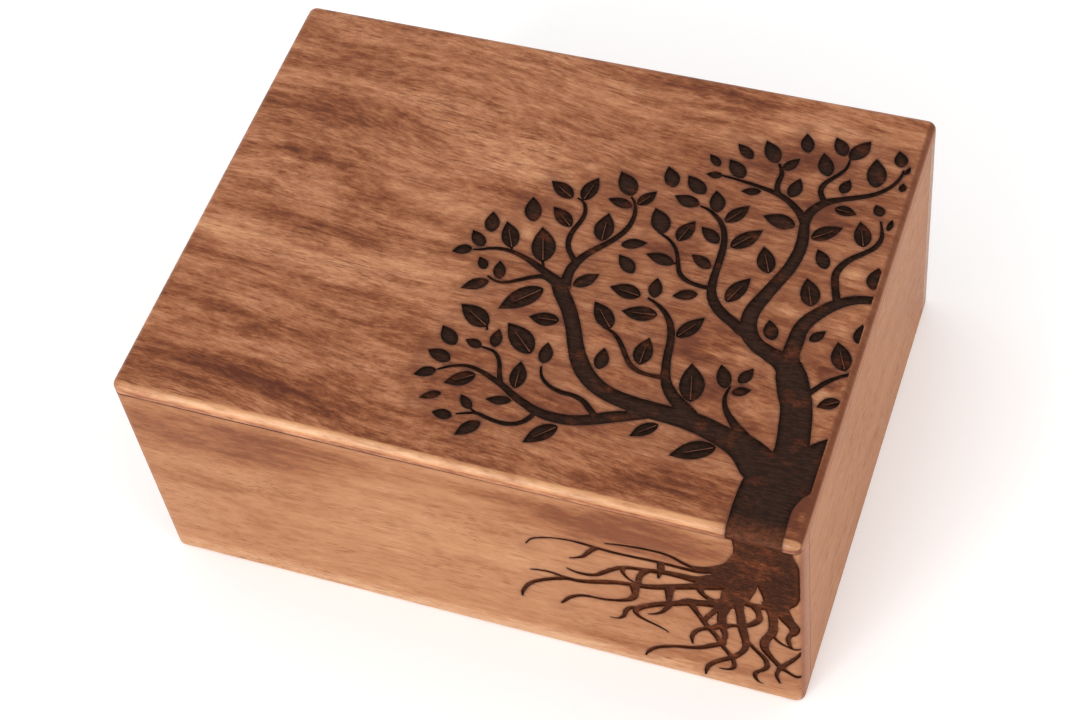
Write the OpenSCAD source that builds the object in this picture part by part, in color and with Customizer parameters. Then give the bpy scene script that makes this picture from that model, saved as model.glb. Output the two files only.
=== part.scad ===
// A closed rosewood urn box: four wall boards, an inset base board and a lid that
// lifts off. A tree is burned shallowly into the lid, and its roots run down the front.
// The box stands on the plane z = 0 with its middle on the Z axis. The front faces -Y.

/* [Overall size] */
// Width of the closed box, left to right
box_w = 254; // [200:1:320]
// Depth of the closed box, front to back
box_d = 192; // [150:1:240]
// Height of the closed box, with its lid on
box_h = 110; // [85:1:150]

/* [Boards] */
// Thickness of the front, back and end boards
wall_t = 10; // [8:0.5:14]
// Thickness of the lid's edge, which shows above the seam
lid_edge_t = 5; // [4.5:0.5:9]
// Height of the raised panel under the lid, which drops inside the walls
lid_panel_t = 5; // [3:0.5:9]
// Thickness of the base board
base_t = 8; // [5:0.5:14]

/* [Fits] */
// Gap between the lid's raised panel and each wall
panel_clearance = 0.8; // [0.4:0.1:2]

/* [Rounded edges] */
// Radius of the lid's top edges
top_r = 3; // [2:0.5:4]
// Radius of the upright corners
corner_r = 3.5; // [3:0.5:6]
// Radius of the edges that the box stands inside
foot_r = 2; // [1:0.5:4]

/* [Carving] */
// Depth of the burned tree below the surface of the wood
carve_depth = 0.8; // [0.4:0.1:1.5]
// Plain strip kept between the tree and the end of the box
carve_margin = 2.5; // [1:0.5:8]
// Steps between two points of a limb's middle line
limb_steps = 4; // [2:1:8]

/* [Hidden] */
$fn = 96;

wall_h = box_h - lid_edge_t;
inner_w = box_w - 2 * wall_t;
inner_d = box_d - 2 * wall_t;
panel_w = inner_w - 2 * panel_clearance;
panel_d = inner_d - 2 * panel_clearance;

// The tree is drawn for a box of this size and keeps its place at the front right corner
drawn_w = 254;
drawn_d = 192;
drawn_h = 110;

// Limbs on the lid: [x, y, width], x and y from the middle of the lid
trunk_top = [[111.3, -100, 20.2], [110.6, -84, 20], [111.5, -76, 20], [113.3, -68, 15], [113.4, -60, 11.5],
             [112.2, -50, 11.3], [110.5, -42, 11], [107.5, -34, 11.5], [103.8, -26, 8]];
limb_low = [[108, -73, 13], [97, -63, 11], [89, -60, 8.5], [76, -56.5, 7.5], [60, -56, 7], [47, -53.5, 6],
            [38, -49, 6.4], [31.5, -41, 6.2], [26, -30, 5.6], [20, -19.5, 5.8], [14, -11.5, 4.5]];
limb_swag = [[60, -59, 3.5], [50, -62.8, 4.8], [40, -66.8, 4.2], [29, -67.7, 4], [20, -65.1, 3.1], [7, -58.6, 2.2]];
limb_mid = [[77, -54.5, 5], [67.5, -47.7, 4.5], [62.7, -38, 3.3], [60.8, -26, 2.8], [57, -17, 2.2]];
limb_tall = [[106, -29, 10], [95, -22.6, 6.3], [87.5, -17, 6], [84.8, -8, 5.8], [88.8, 5, 5], [93, 17, 4.8],
             [93.5, 28, 4.4], [92.2, 39, 3.6]];
limb_left = [[85, -16.5, 4.5], [76, -11, 4.2], [69, -3.2, 3.6], [67.5, 8, 2.8], [66.8, 19.5, 2.5], [63.3, 28.5, 2]];
limb_right = [[104.5, -27, 9], [103, -17, 6], [103.3, -10, 5.6], [108, -1.2, 5], [114.5, 5, 4.2], [127, 8.8, 3.5]];
limb_edge = [[112, -76, 12], [118, -67, 13], [128, -59, 15.5]];
TOP_LIMBS = [trunk_top, limb_low, limb_swag, limb_mid, limb_tall, limb_left, limb_right, limb_edge];

// Roots on the front board: [x, z, width], x from the middle and z from the ground
trunk_front = [[111.3, 114, 20.2], [112.7, 104, 20.9], [113.6, 96, 22], [113.8, 88, 23], [113.8, 80, 24]];
root_high = [[104, 82, 9], [96, 75.5, 7], [89, 72.7, 4.6], [78, 72.4, 3.3], [67, 70.1, 2.3], [59, 66, 2],
             [52.5, 59.3, 2]];
root_long = [[102, 75, 8], [91, 69, 4.4], [80, 63.4, 3.7], [67, 58.3, 3], [53, 54.4, 2.9], [40, 50.7, 2.2],
             [30, 45, 1.9]];
root_mid = [[104, 66, 9], [95, 59, 5], [86.5, 55.8, 4], [77, 50, 3.2], [69, 44.4, 2.8]];
root_left = [[104, 84, 12], [102.5, 70, 9], [98.8, 58, 4.6], [97.8, 48, 3.8], [98.6, 38, 2.6], [91.5, 26, 2.6],
             [80, 20.4, 2]];
root_centre = [[106, 84, 13], [104.5, 70, 6], [104.6, 54, 3.5], [105.6, 42, 3.5], [105.6, 31, 2.5], [98.5, 20.2, 2.6],
               [91.3, 11, 2]];
root_right = [[119, 84, 13], [117.6, 70, 9], [116.5, 56, 3.5], [115, 45.5, 3.4], [113, 36, 3.4], [119, 24, 3]];
FRONT_ROOTS = [trunk_front, root_high, root_long, root_mid, root_left, root_centre, root_right];

// One point of the smooth curve from b to c, where a and d are their neighbours
function curve_point(a, b, c, d, t) =
    (2 * b + (c - a) * t + (2 * a - 5 * b + 4 * c - d) * t * t + (3 * b - a - 3 * c + d) * t * t * t) / 2;

// The middle line of a limb, with limb_steps points for each given one
function middle_line(p) =
    let(last = len(p) - 1)
    [for (i = [0 : last - 1], k = [0 : limb_steps - 1])
         curve_point(p[max(i - 1, 0)], p[i], p[i + 1], p[min(i + 2, last)], k / limb_steps),
     p[last]];

// One side of a limb: the middle line moved out by half the width
function limb_side(m, out) =
    let(last = len(m) - 1)
    [for (i = [0 : last])
         let(run = m[min(i + 1, last)] - m[max(i - 1, 0)],
             half = out * m[i].z / 2 / norm([run.x, run.y]))
         [m[i].x - run.y * half, m[i].y + run.x * half]];

// The flat outline of one tapered limb
module limb_outline(points) {
    m = middle_line(points);
    far_side = limb_side(m, -1);
    polygon(concat(limb_side(m, 1), [for (i = [len(m) - 1 : -1 : 0]) far_side[i]]));
}

// A rectangle standing on the X axis, with its own radius at the foot and at the top
module upright_outline(w, h, r_foot, r_top) {
    translate([-w / 2, r_foot]) square([w, h - r_foot - r_top]);
    translate([-w / 2 + r_foot, 0]) square([w - 2 * r_foot, r_foot]);
    translate([-w / 2 + r_top, h - r_top]) square([w - 2 * r_top, r_top]);
    for (side = [-1, 1]) {
        translate([side * (w / 2 - r_foot), r_foot]) circle(r_foot);
        translate([side * (w / 2 - r_top), h - r_top]) circle(r_top);
    }
}

// The outer form of the whole closed box, moved in by the given depth all over
module outer_form(depth) {
    w = box_w - 2 * depth;
    d = box_d - 2 * depth;
    h = box_h - 2 * depth;
    translate([0, 0, depth])
    intersection() {
        translate([0, -d / 2, 0]) linear_extrude(h) upright_outline(w, d, corner_r - depth, corner_r - depth);
        translate([0, d / 2, 0]) rotate([90, 0, 0])
            linear_extrude(d) upright_outline(w, h, foot_r - min(depth, foot_r / 2), top_r - depth);
        translate([-w / 2, 0, 0]) rotate([90, 0, 90])
            linear_extrude(w) upright_outline(d, h, foot_r - min(depth, foot_r / 2), top_r - depth);
    }
}

// The limbs as upright prisms through the lid, kept clear of the right end
module tree_prisms() {
    translate([(box_w - drawn_w) / 2, (drawn_d - box_d) / 2, wall_h - 1])
    intersection() {
        linear_extrude(lid_edge_t + 2) for (limb = TOP_LIMBS) limb_outline(limb);
        translate([-drawn_w / 2, -drawn_d, -1]) cube([drawn_w - carve_margin, 2 * drawn_d, lid_edge_t + 4]);
    }
}

// The roots as level prisms through the front board
module root_prisms() {
    translate([(box_w - drawn_w) / 2, -box_d / 2 + wall_t / 2, box_h - drawn_h]) rotate([90, 0, 0])
    intersection() {
        linear_extrude(wall_t) for (root = FRONT_ROOTS) limb_outline(root);
        translate([-drawn_w / 2, -box_h, -1]) cube([drawn_w - carve_margin, 3 * box_h, wall_t + 2]);
    }
}

// What the burning takes away: the prisms, down to the carving depth below the surface
module burned_away() {
    difference() {
        children();
        outer_form(carve_depth);
    }
}

module lid() {
    color("sienna") {
        difference() {
            intersection() {
                outer_form(0);
                translate([-box_w, -box_d, wall_h]) cube([2 * box_w, 2 * box_d, box_h]);
            }
            burned_away() tree_prisms();
        }
        translate([-panel_w / 2, -panel_d / 2, wall_h - lid_panel_t]) cube([panel_w, panel_d, lid_panel_t]);
    }
}

module front_board() {
    color("peru")
    difference() {
        intersection() {
            outer_form(0);
            translate([-box_w, -box_d / 2, 0]) cube([2 * box_w, wall_t, wall_h]);
        }
        burned_away() root_prisms();
    }
}

module back_board() {
    color("peru")
    intersection() {
        outer_form(0);
        translate([-box_w, box_d / 2 - wall_t, 0]) cube([2 * box_w, wall_t, wall_h]);
    }
}

// An end board stands between the front and back boards; end is -1 on the left, 1 on the right
module end_board(end) {
    color("rosybrown")
    intersection() {
        outer_form(0);
        translate([end * (box_w - wall_t) / 2, 0, wall_h / 2]) cube([wall_t, inner_d, wall_h], center = true);
    }
}

module left_board() end_board(-1);
module right_board() end_board(1);

module base_board() {
    color("burlywood")
    translate([-inner_w / 2, -inner_d / 2, 0]) cube([inner_w, inner_d, base_t]);
}

lid();
front_board();
back_board();
left_board();
right_board();
base_board();
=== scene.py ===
import math
import bpy
from mathutils import Matrix, Quaternion, Vector, kdtree


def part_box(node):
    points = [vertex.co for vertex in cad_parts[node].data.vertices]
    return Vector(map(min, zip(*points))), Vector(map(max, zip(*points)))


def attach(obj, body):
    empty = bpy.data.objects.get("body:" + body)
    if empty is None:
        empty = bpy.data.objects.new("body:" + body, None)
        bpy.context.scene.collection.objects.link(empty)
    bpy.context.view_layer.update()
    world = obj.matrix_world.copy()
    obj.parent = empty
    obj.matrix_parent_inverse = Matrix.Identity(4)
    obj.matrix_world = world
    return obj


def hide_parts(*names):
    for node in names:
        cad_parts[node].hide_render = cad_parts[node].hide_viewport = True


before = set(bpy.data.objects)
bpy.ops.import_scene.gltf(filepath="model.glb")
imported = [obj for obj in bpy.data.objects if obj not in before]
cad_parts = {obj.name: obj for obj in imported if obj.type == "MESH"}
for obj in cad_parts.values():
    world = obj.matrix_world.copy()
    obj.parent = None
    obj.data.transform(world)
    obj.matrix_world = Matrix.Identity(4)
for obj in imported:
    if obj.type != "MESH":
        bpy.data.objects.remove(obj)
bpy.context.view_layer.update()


# ---------------------------------------------------------------- studio
# A sheet of pale card under the box that glows a little, one wide soft light low at the front
# left, a weaker one at the right, a small one high up that catches the lid's front edge, and
# even white light from all round.

studio = bpy.context.scene
studio.view_settings.view_transform = "Standard"
studio.view_settings.look = "None"

room = bpy.data.worlds.new("even_white_light")
room.use_nodes = True
room_light = room.node_tree.nodes["Background"]
room_light.inputs["Color"].default_value = (1.0, 1.0, 1.0, 1.0)
room_light.inputs["Strength"].default_value = 0.93
studio.world = room

camera_spot = Vector((0.2343, -0.4732, 0.7668))
camera_aim = Vector((0.0010, -0.0103, 0.0550))
camera_tilt = math.radians(-9.6)
camera_turn = (camera_aim - camera_spot).to_track_quat("-Z", "Y") @ Quaternion((0, 0, 1), camera_tilt)
bpy.ops.object.camera_add(location=camera_spot, rotation=camera_turn.to_euler())
camera = bpy.context.object
camera.data.lens = 77.24
camera.data.sensor_width = 36.0
camera.data.clip_start = 0.05
camera.data.clip_end = 20.0
studio.camera = camera


def soft_light(name, spot, aim, width, watts):
    turn = (Vector(aim) - Vector(spot)).to_track_quat("-Z", "Y").to_euler()
    bpy.ops.object.light_add(type="AREA", location=spot, rotation=turn)
    lamp = bpy.context.object
    lamp.name = name
    lamp.data.shape = "SQUARE"
    lamp.data.size = width
    lamp.data.energy = watts


soft_light("front_light", (-0.6, -2.2, 0.5), (0, 0, 0.05), 1.2, 32.0)
soft_light("right_light", (2.2, -0.6, 0.9), (0, 0, 0.05), 1.2, 10.0)
soft_light("edge_light", (-0.60, -1.50, 1.30), (0, 0, 0.10), 0.35, 3.0)

bpy.ops.mesh.primitive_plane_add(size=6.0, location=(0, 0, 0))
card = bpy.context.object
card.name = "studio_card"
card_paint = bpy.data.materials.new("studio_card")
card_paint.use_nodes = True
card_surface = card_paint.node_tree.nodes["Principled BSDF"]
card_surface.inputs["Base Color"].default_value = (0.98, 0.98, 0.98, 1)
card_surface.inputs["Roughness"].default_value = 0.9
card_surface.inputs["Specular IOR Level"].default_value = 0.1
card_surface.inputs["Emission Color"].default_value = (1, 1, 1, 1)
card_surface.inputs["Emission Strength"].default_value = 0.09
card.data.materials.append(card_paint)


# ---------------------------------------------------------------- base board
# A planed rosewood board let in between the four walls, flush with their feet, glued in.
# Its edges are eased only enough to take off the splinters.

MM = 0.001
SEAM_HEIGHT = 105.0
JOINT_PLACE = 86.0


def put(tree, kind, inputs=None, **settings):
    """Adds a node, sets it and joins up its inputs."""
    made = tree.nodes.new(kind)
    for key, value in settings.items():
        setattr(made, key, value)
    for key, value in (inputs or {}).items():
        if isinstance(value, bpy.types.NodeSocket):
            tree.links.new(value, made.inputs[key])
        else:
            made.inputs[key].default_value = value
    return made


def figure(tree, operation, a, b=0.0, clamp=False):
    """One sum on two numbers."""
    return put(tree, "ShaderNodeMath", {0: a, 1: b}, operation=operation, use_clamp=clamp).outputs[0]


def times(tree, a, b):
    return figure(tree, "MULTIPLY", a, b)


def minus(tree, a, b):
    return figure(tree, "SUBTRACT", a, b)


def stretch(tree, value, low, high, to_low=0.0, to_high=1.0, smooth=False):
    """Turns the range from low to high into the range from to_low to to_high."""
    kind = "SMOOTHSTEP" if smooth else "LINEAR"
    made = put(tree, "ShaderNodeMapRange", {0: value, 1: low, 2: high, 3: to_low, 4: to_high},
               interpolation_type=kind, clamp=True)
    return made.outputs[0]


def shift(tree, operation, a, b):
    """One sum on two places."""
    return put(tree, "ShaderNodeVectorMath", {0: a, 1: b}, operation=operation).outputs[0]


def in_mm(tree, place):
    """A place in metres, given in mm."""
    return shift(tree, "MULTIPLY", place, (1000.0, 1000.0, 1000.0))


def swing(tree, value, by):
    """A mask's swing about its middle, by times as wide."""
    return times(tree, minus(tree, value, 0.5), by)


def cloudy(tree, point, size, detail=2.0, rough=0.5, colour=False):
    """Noise whose lumps are about as long as size, in mm, on each axis."""
    fine = shift(tree, "MULTIPLY", point, tuple(1.0 / s for s in size))
    settings = {"Vector": fine, "Scale": 1.0, "Detail": detail, "Roughness": rough}
    made = put(tree, "ShaderNodeTexNoise", settings, noise_dimensions="3D")
    return made.outputs["Color" if colour else "Fac"]


def blend_colour(tree, share, a, b, kind="MIX"):
    """Colour a, with a share of colour b laid over it."""
    made = put(tree, "ShaderNodeMix", {0: share}, data_type="RGBA", blend_type=kind)
    for socket, value in ((made.inputs[6], a), (made.inputs[7], b)):
        if isinstance(value, bpy.types.NodeSocket):
            tree.links.new(value, socket)
        else:
            socket.default_value = value
    return made.outputs[2]


def tint(red, green, blue):
    """A colour given as a paint chart gives it, 0 to 255, turned into light."""
    def lit(v):
        v = v / 255.0
        return v / 12.92 if v <= 0.04045 else ((v + 0.055) / 1.055) ** 2.4
    return (lit(red), lit(green), lit(blue), 1.0)


# Rosewood figure: wandering bands, streaks, fine fibres and open pores, all along X
grain = bpy.data.node_groups.new("rosewood_figure", "ShaderNodeTree")
grain.interface.new_socket("Point", in_out="INPUT", socket_type="NodeSocketVector")
grain.interface.new_socket("Plank", in_out="INPUT", socket_type="NodeSocketFloat")
for label in ("Bands", "Streaks", "Mottle", "Fibres", "Pores"):
    grain.interface.new_socket(label, in_out="OUTPUT", socket_type="NodeSocketFloat")
grain_in = grain.nodes.new("NodeGroupInput")
grain_out = grain.nodes.new("NodeGroupOutput")
# Each board has its own plank number, which takes it to another part of the log
log_step = (371.0, 917.0, 533.0)
spread = put(grain, "ShaderNodeCombineXYZ",
             {axis: times(grain, grain_in.outputs["Plank"], step) for axis, step in enumerate(log_step)})
along = shift(grain, "ADD", in_mm(grain, grain_in.outputs["Point"]), spread.outputs[0])
slow_wave = shift(grain, "SUBTRACT", cloudy(grain, along, (160, 70, 70), 1.0, colour=True), (0.5, 0.5, 0.5))
along = shift(grain, "ADD", along, shift(grain, "MULTIPLY", slow_wave, (30.0, 30.0, 24.0)))
quick_wave = shift(grain, "SUBTRACT", cloudy(grain, along, (40, 14, 14), 2.0, colour=True), (0.5, 0.5, 0.5))
along = shift(grain, "ADD", along, shift(grain, "MULTIPLY", quick_wave, (9.0, 3.4, 3.4)))
grain.links.new(cloudy(grain, along, (60, 11, 18), 8.0, 0.7), grain_out.inputs["Bands"])
grain.links.new(cloudy(grain, along, (44, 3.0, 3.0), 4.0, 0.6), grain_out.inputs["Streaks"])
mottled = stretch(grain, cloudy(grain, along, (7, 2.6, 2.6), 6.0, 0.75), 0.38, 0.62)
grain.links.new(mottled, grain_out.inputs["Mottle"])
fibrous = stretch(grain, cloudy(grain, along, (5, 0.8, 0.8), 3.0, 0.7), 0.34, 0.66)
grain.links.new(fibrous, grain_out.inputs["Fibres"])
dashes = stretch(grain, cloudy(grain, along, (10, 0.6, 0.6), 2.0, 0.6), 0.55, 0.66)
crowded = stretch(grain, cloudy(grain, along, (60, 14, 14), 2.0), 0.35, 0.6, 0.15, 1.0)
grain.links.new(times(grain, dashes, crowded), grain_out.inputs["Pores"])

# Painted shade in the seam under the lid, fading towards the right, and finish darkened in the upright joints
seam_shade_and_joints = bpy.data.node_groups.new("seam_shade_and_joint_finish", "ShaderNodeTree")
seam_shade_and_joints.interface.new_socket("Point", in_out="INPUT", socket_type="NodeSocketVector")
seam_shade_and_joints.interface.new_socket("Mask", in_out="OUTPUT", socket_type="NodeSocketFloat")
seam_joint_in = seam_shade_and_joints.nodes.new("NodeGroupInput")
seam_joint_out = seam_shade_and_joints.nodes.new("NodeGroupOutput")
seam_joint_mm = in_mm(seam_shade_and_joints, seam_joint_in.outputs["Point"])
where = put(seam_shade_and_joints, "ShaderNodeSeparateXYZ", {0: seam_joint_mm}).outputs
off_seam = figure(seam_shade_and_joints, "ABSOLUTE", minus(seam_shade_and_joints, where["Z"], SEAM_HEIGHT))
seam_shade = stretch(seam_shade_and_joints, off_seam, 0.15, 0.6, 1.0, 0.0, smooth=True)
seam_shade = times(seam_shade_and_joints, seam_shade, stretch(seam_shade_and_joints, where["X"], -60.0, 60.0, 1.0, 0.45))
from_middle = figure(seam_shade_and_joints, "ABSOLUTE", where["Y"])
off_joint = figure(seam_shade_and_joints, "ABSOLUTE", minus(seam_shade_and_joints, from_middle, JOINT_PLACE))
joint_line = stretch(seam_shade_and_joints, off_joint, 0.05, 0.4, 0.6, 0.0, smooth=True)
below_seam = stretch(seam_shade_and_joints, where["Z"], SEAM_HEIGHT + 0.2, SEAM_HEIGHT + 0.6, 1.0, 0.0)
joint_line = times(seam_shade_and_joints, joint_line, below_seam)
broken = stretch(seam_shade_and_joints, cloudy(seam_shade_and_joints, seam_joint_mm, (18, 18, 6), 3.0, 0.6), 0.30, 0.55, 0.6, 1.0)
either_line = figure(seam_shade_and_joints, "MAXIMUM", seam_shade, joint_line)
seam_shade_and_joints.links.new(times(seam_shade_and_joints, either_line, broken), seam_joint_out.inputs["Mask"])


def rosewood(name, tones, plank, turn=(0, 0, 0), patches=(), contrast=(1.0, 1.0, 1.0),
             gloss=0.42, coat=0.25, skin_light=0.12):
    """Lacquered rosewood. tones run from darkest to palest; a patch is (middle mm, reach mm, strength)."""
    wood = bpy.data.materials.new(name)
    wood.use_nodes = True
    tree = wood.node_tree
    surface = tree.nodes["Principled BSDF"]
    place = put(tree, "ShaderNodeTexCoord").outputs["Object"]
    lay = put(tree, "ShaderNodeMapping", {"Vector": place, "Rotation": turn}).outputs[0]
    figured = put(tree, "ShaderNodeGroup", {}, node_tree=grain)
    tree.links.new(lay, figured.inputs["Point"])
    figured.inputs["Plank"].default_value = plank
    fibres, pores = figured.outputs["Fibres"], figured.outputs["Pores"]
    tone = 0.5
    for figure_name, depth in (("Bands", 1.35 * contrast[0]), ("Streaks", 0.5 * contrast[1]),
                               ("Mottle", 0.15 * contrast[2]), ("Fibres", 0.14 * contrast[2])):
        tone = figure(tree, "ADD", tone, swing(tree, figured.outputs[figure_name], depth))
    if patches:
        ragged = in_mm(tree, place)
        torn = cloudy(tree, ragged, (24, 8, 8), 6.0, 0.68, colour=True)
        torn = shift(tree, "SUBTRACT", torn, (0.5, 0.5, 0.5))
        ragged = shift(tree, "ADD", ragged, shift(tree, "MULTIPLY", torn, (56.0, 22.0, 22.0)))
        for middle, reach, strength in patches:
            gap = shift(tree, "SUBTRACT", ragged, middle)
            gap = shift(tree, "DIVIDE", gap, reach)
            far = put(tree, "ShaderNodeVectorMath", {0: gap}, operation="LENGTH").outputs["Value"]
            tone = figure(tree, "ADD", tone, stretch(tree, far, 0.15, 1.25, strength, 0.0, smooth=True))
    ramp = put(tree, "ShaderNodeValToRGB", {0: tone})
    spots = (0.10, 0.32, 0.50, 0.68, 0.92)
    while len(ramp.color_ramp.elements) < len(spots):
        ramp.color_ramp.elements.new(0.5)
    for stop, spot, colour in zip(ramp.color_ramp.elements, spots, tones):
        stop.position = spot
        stop.color = colour
    colour = blend_colour(tree, times(tree, pores, 0.6), ramp.outputs[0], tones[0])
    # Painted shade in the seam under the lid, and finish darkened in the upright joints
    lines = put(tree, "ShaderNodeGroup", {}, node_tree=seam_shade_and_joints)
    tree.links.new(place, lines.inputs["Point"])
    colour = blend_colour(tree, lines.outputs["Mask"], colour, tint(62, 26, 14))
    rough = figure(tree, "ADD", gloss, swing(tree, fibres, 0.2))
    rough = figure(tree, "ADD", rough, times(tree, pores, 0.15), clamp=True)
    lift = times(tree, fibres, 0.5)
    lift = minus(tree, lift, times(tree, pores, 0.6))
    skin = put(tree, "ShaderNodeBump", {"Height": lift, "Strength": 0.35, "Distance": 0.00012})
    tree.links.new(colour, surface.inputs["Base Color"])
    tree.links.new(rough, surface.inputs["Roughness"])
    tree.links.new(skin.outputs[0], surface.inputs["Normal"])
    surface.inputs["Specular IOR Level"].default_value = skin_light
    surface.inputs["Coat Weight"].default_value = coat
    surface.inputs["Coat Roughness"].default_value = 0.2
    return wood


def block(name, low, high):
    """A squared block of wood from its lowest to its highest corner."""
    bpy.ops.object.select_all(action="DESELECT")
    low, high = Vector(low), Vector(high)
    bpy.ops.mesh.primitive_cube_add(size=1.0, location=(low + high) / 2, scale=high - low)
    made = bpy.context.object
    made.name = name
    bpy.ops.object.transform_apply(location=True, rotation=True, scale=True)
    return made


def pick(piece):
    """Leaves one piece selected and active, and nothing else."""
    bpy.ops.object.select_all(action="DESELECT")
    piece.select_set(True)
    bpy.context.view_layer.objects.active = piece


def ease_edges(board, radius, steps, wanted):
    """Rounds the edges whose middle passes the rule, with a radius in mm."""
    bpy.ops.object.select_all(action="DESELECT")
    bpy.context.view_layer.objects.active = board
    bpy.context.tool_settings.mesh_select_mode = (False, True, False)
    mesh = board.data
    for part in (mesh.vertices, mesh.edges, mesh.polygons):
        part.foreach_set("select", [False] * len(part))
    for edge in mesh.edges:
        a, b = (mesh.vertices[i].co for i in edge.vertices)
        edge.select = bool(wanted((a + b) / 2 / MM, (b - a).normalized()))
    bpy.ops.object.mode_set(mode="EDIT")
    bpy.ops.mesh.bevel(offset_type="OFFSET", offset=radius * MM, segments=steps, profile=0.5,
                       affect="EDGES", clamp_overlap=False)
    bpy.ops.object.mode_set(mode="OBJECT")


def finish_piece(piece, node, wood=None):
    """Smooth shading, its wood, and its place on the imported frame."""
    pick(piece)
    bpy.ops.object.shade_smooth_by_angle(angle=math.radians(35))
    if wood:
        piece.data.materials.append(wood)
    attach(piece, "root")
    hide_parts(node)


base_low, base_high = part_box("base_board")
base = block("base", base_low, base_high)
ease_edges(base, 0.25, 2, lambda mid, run: True)
base_tones = (tint(92, 50, 28), tint(124, 76, 46), tint(150, 98, 64), tint(172, 120, 84), tint(194, 144, 106))
base_finish = rosewood("base_wood", base_tones, 3.0, contrast=(0.7, 0.8, 0.9), gloss=0.6)
finish_piece(base, "base_board", base_finish)


# ---------------------------------------------------------------- end boards
# Two rosewood boards glued between the front and the back. Their grain runs level, and
# a hair of a chamfer shows the upright joint at each corner. Lacquered satin, pale and pinkish.

CORNER = 3.5
FOOT = 2.0
SEAM = 0.25
JOINT = 0.2

end_tones = (tint(114, 64, 36), tint(152, 96, 60), tint(166, 110, 72), tint(177, 121, 84), tint(188, 132, 96))
end_finish = rosewood("end_wood", end_tones, 7.0, turn=(0, 0, math.pi / 2),
                      contrast=(0.4, 0.35, 0.4), gloss=0.46, coat=0.0, skin_light=0.08)


def end_board(name, node, out):
    """An end board; out is -1 on the left and 1 on the right."""
    low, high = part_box(node)
    board = block(name, low, high)
    side = (high.x if out > 0 else low.x) / MM
    ease_edges(board, FOOT, 5, lambda mid, run: abs(mid.x - side) < 0.01 and mid.z < 0.01)
    ease_edges(board, SEAM, 1, lambda mid, run: abs(mid.x - side) < 0.01 and abs(mid.z - high.z / MM) < 0.01)
    joint = abs(high.y) / MM
    ease_edges(board, JOINT, 1, lambda mid, run: abs(abs(mid.y) - joint) < 0.01)
    finish_piece(board, node, end_finish)


end_board("left_end", "left_board", -1)
end_board("right_end", "right_board", 1)


# ---------------------------------------------------------------- back board
# A plain rosewood board across the full width of the back, of the same stock as the front.

front_tones = (tint(108, 56, 27), tint(141, 88, 53), tint(158, 107, 72), tint(171, 121, 84),
               tint(190, 148, 114))


def wall_blank(name, low, high, out):
    """A full-width wall board with rounded outer corners and foot, and an eased seam edge."""
    board = block(name, low, high)
    face = out * max(abs(low.y), abs(high.y)) / MM
    inner = out * min(abs(low.y), abs(high.y)) / MM
    top = high.z / MM
    foot = low.z / MM
    ease_edges(board, CORNER, 7, lambda mid, run: abs(mid.y - face) < 0.01 and abs(run.z) > 0.9)
    ease_edges(board, FOOT, 5, lambda mid, run: abs(mid.z - foot) < 0.01 and abs(mid.y - inner) > 0.01)
    ease_edges(board, SEAM, 1, lambda mid, run: abs(mid.z - top) < 0.01 and abs(mid.y - inner) > 0.01)
    ease_edges(board, JOINT, 1, lambda mid, run: abs(mid.y - inner) < 0.01)
    return board


back_low, back_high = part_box("back_board")
back = wall_blank("back", back_low, back_high, 1)
back_finish = rosewood("back_wood", front_tones, 11.0, contrast=(0.8, 0.6, 0.6))
finish_piece(back, "back_board", back_finish)


# ---------------------------------------------------------------- front board
# A rosewood board across the full width of the front. The foot of the trunk and the roots
# are burned about 0.8 mm into it, level by level, so the floor of the burn is dark and soft.

BURN = 0.8
FRONT_FACE = -96.0
RIGHT_END = 127.0
PROUD = 0.02
ROOTS_END = 126.0
FRONT_MESH = 1.25
FRONT_SCORES = (6.0, 104.0, 2.0)


def stay(board, operation, other):
    """Joins or cuts a solid with another, which is used up."""
    bpy.context.view_layer.objects.active = board
    cut = board.modifiers.new("cut", "BOOLEAN")
    cut.operation = operation
    cut.solver = "MANIFOLD"
    cut.object = other
    bpy.ops.object.modifier_apply(modifier="cut")
    bpy.data.objects.remove(other)


def finely_faced(name, low, high, step, face):
    """A block, sized in mm, whose top ("Z") or front ("Y") face is a fine grid, so that scorching
    can fade over it."""
    bpy.ops.object.select_all(action="DESELECT")
    wide = high[0] - low[0]
    tall = high[1] - low[1] if face == "Z" else high[2] - low[2]
    bpy.ops.mesh.primitive_grid_add(size=1.0, x_subdivisions=round(wide / step),
                                    y_subdivisions=round(tall / step))
    made = bpy.context.object
    made.name = name
    made.scale = (wide * MM, tall * MM, 1.0)
    made.location = ((low[0] + high[0]) / 2 * MM, (low[1] + high[1]) / 2 * MM, high[2] * MM)
    if face == "Y":
        made.rotation_euler = (math.pi / 2, 0, 0)
        made.location = ((low[0] + high[0]) / 2 * MM, low[1] * MM, (low[2] + high[2]) / 2 * MM)
    bpy.ops.object.transform_apply(location=True, rotation=True, scale=True)
    bpy.ops.object.mode_set(mode="EDIT")
    bpy.ops.mesh.select_all(action="SELECT")
    away = (0, 0, (low[2] - high[2]) * MM) if face == "Z" else (0, (high[1] - low[1]) * MM, 0)
    bpy.ops.mesh.extrude_region_move(TRANSFORM_OT_translate={"value": away})
    bpy.ops.mesh.select_all(action="SELECT")
    bpy.ops.mesh.normals_make_consistent(inside=False)
    bpy.ops.object.mode_set(mode="OBJECT")
    return made


def score_across(board, axis, first, last, step):
    """Cuts the faces of a simple blank across, every step mm, without changing its shape."""
    bpy.context.view_layer.objects.active = board
    bpy.ops.object.mode_set(mode="EDIT")
    place = first
    while place <= last:
        bpy.ops.mesh.select_all(action="SELECT")
        spot = [0, 0, 0]
        spot[axis] = place * MM
        way = [0, 0, 0]
        way[axis] = 1
        bpy.ops.mesh.bisect(plane_co=spot, plane_no=way)
        place += step
    bpy.ops.object.mode_set(mode="OBJECT")


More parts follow.
